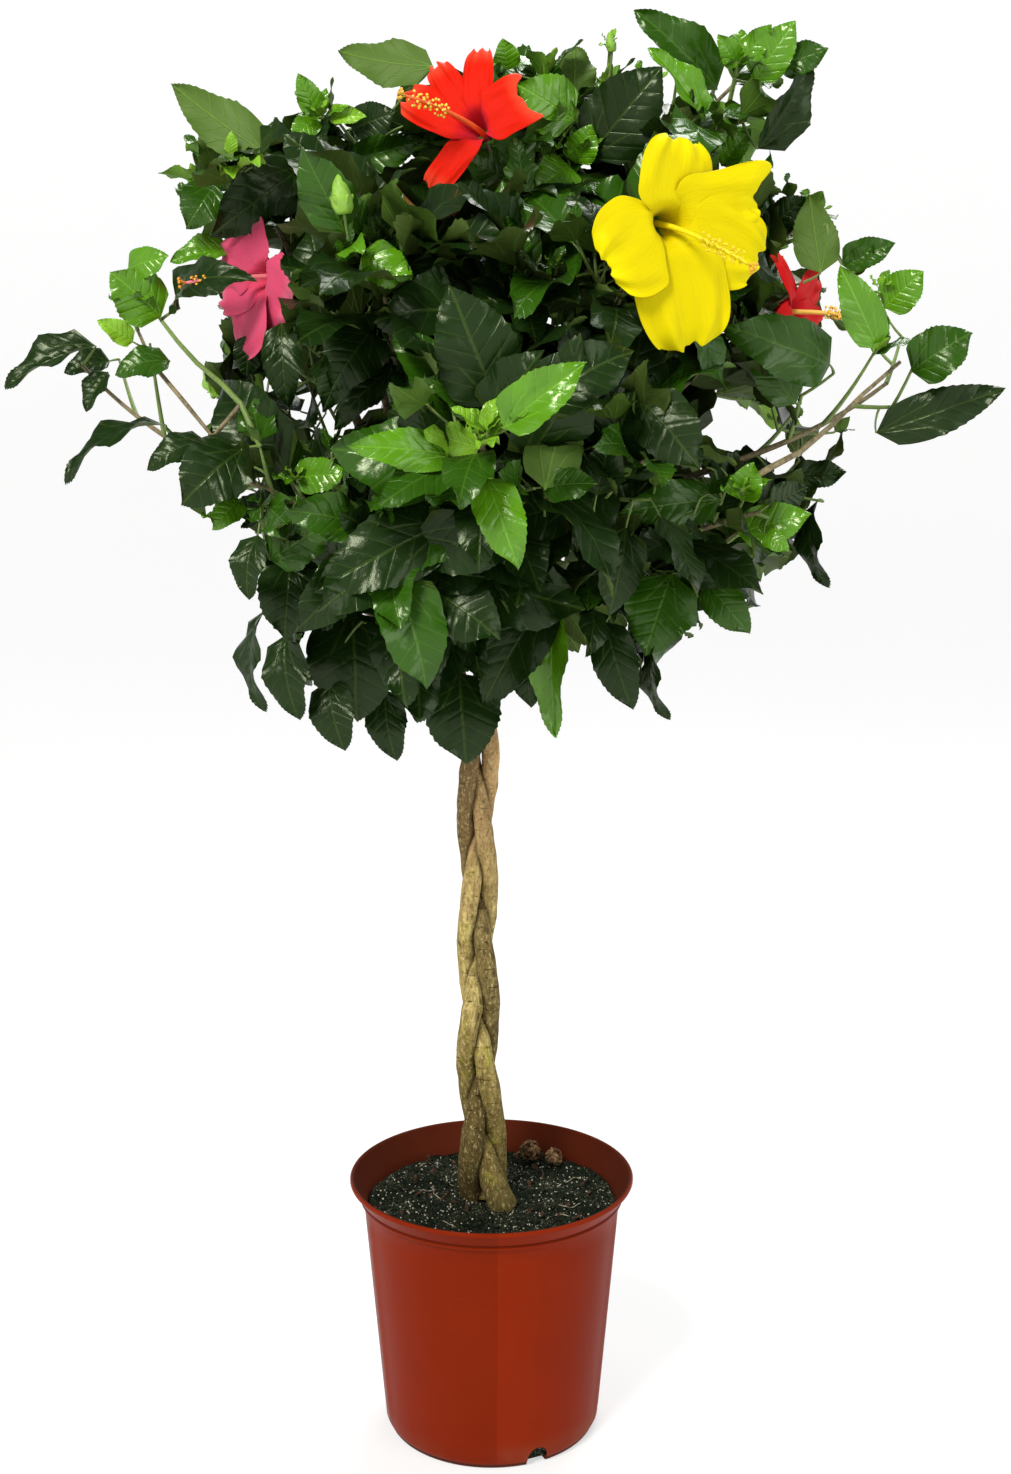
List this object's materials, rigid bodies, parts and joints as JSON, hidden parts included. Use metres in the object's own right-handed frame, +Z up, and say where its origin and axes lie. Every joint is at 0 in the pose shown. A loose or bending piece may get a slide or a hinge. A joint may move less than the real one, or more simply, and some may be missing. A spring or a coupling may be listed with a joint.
{
  "type": "hibiscus shrub",
  "caption": "Hibiscus shrub grown as a standard: braided stems in a round nursery pot carry a wide leafy crown with yellow, red and pink flowers.",
  "frame": {"origin": "centre of the pot's flat underside, on the surface that the pot stands on", "axes": "+Z up along the pot's axis; the plant's front, with the yellow flower, looks along -Y; +X is to the right of the front view"},
  "size_m": [0.827, 0.6619, 1.2404],
  "materials": {
    "pot_plastic": "semi-gloss moulded terracotta-coloured plastic",
    "potting_soil": "moist dark potting mix with bark chips and white perlite",
    "stem_bark": "olive-tan bark with mossy mottling and raised pores",
    "bough_bark": "smooth young greenish-brown bark",
    "foliage": "glossy toothed leaves, dark green when old and bright yellow-green when young",
    "yellow_petals": "satin yellow petals",
    "red_petals": "satin orange-red petals with a pink throat",
    "pink_petals": "satin pink petals with red shading",
    "scarlet_petals": "satin scarlet petals"
  },
  "bodies": {
    "root": {"pot": "pot_plastic", "soil": "potting_soil", "stem_right": "stem_bark", "stem_left": "stem_bark", "stem_back": "stem_bark", "bough_front_low": "bough_bark", "bough_low_right": "bough_bark", "bough_right_low": "bough_bark", "bough_front_right": "bough_bark", "bough_front_mid": "bough_bark", "bough_right_reach": "bough_bark", "bough_scarlet_flower_shoot": "bough_bark", "bough_front_high": "bough_bark", "bough_yellow_flower_shoot": "bough_bark", "bough_left_low": "bough_bark", "bough_front_left": "bough_bark", "bough_left_mid": "bough_bark", "bough_back_left": "bough_bark", "bough_left_reach": "bough_bark", "bough_pink_flower_shoot": "bough_bark", "bough_front_top": "bough_bark", "bough_left_top": "bough_bark", "bough_top_left": "bough_bark", "bough_back_low": "bough_bark", "bough_back_mid": "bough_bark", "bough_back_right": "bough_bark", "bough_right_top": "bough_bark", "bough_back_top": "bough_bark", "bough_red_flower_shoot": "bough_bark", "bough_top_right": "bough_bark", "bough_top_mid": "bough_bark", "front_low": "foliage", "low_right": "foliage", "right_low": "foliage", "front_right": "foliage", "front_mid": "foliage", "right_reach": "foliage", "scarlet_flower_shoot": "scarlet_petals", "front_high": "foliage", "yellow_flower_shoot": "yellow_petals", "left_low": "foliage", "front_left": "foliage", "left_mid": "foliage", "back_left": "foliage", "left_reach": "foliage", "pink_flower_shoot": "pink_petals", "front_top": "foliage", "left_top": "foliage", "top_left": "foliage", "back_low": "foliage", "back_mid": "foliage", "back_right": "foliage", "right_top": "foliage", "back_top": "foliage", "red_flower_shoot": "red_petals", "top_right": "foliage", "top_mid": "foliage"}
  },
  "joints": []
}
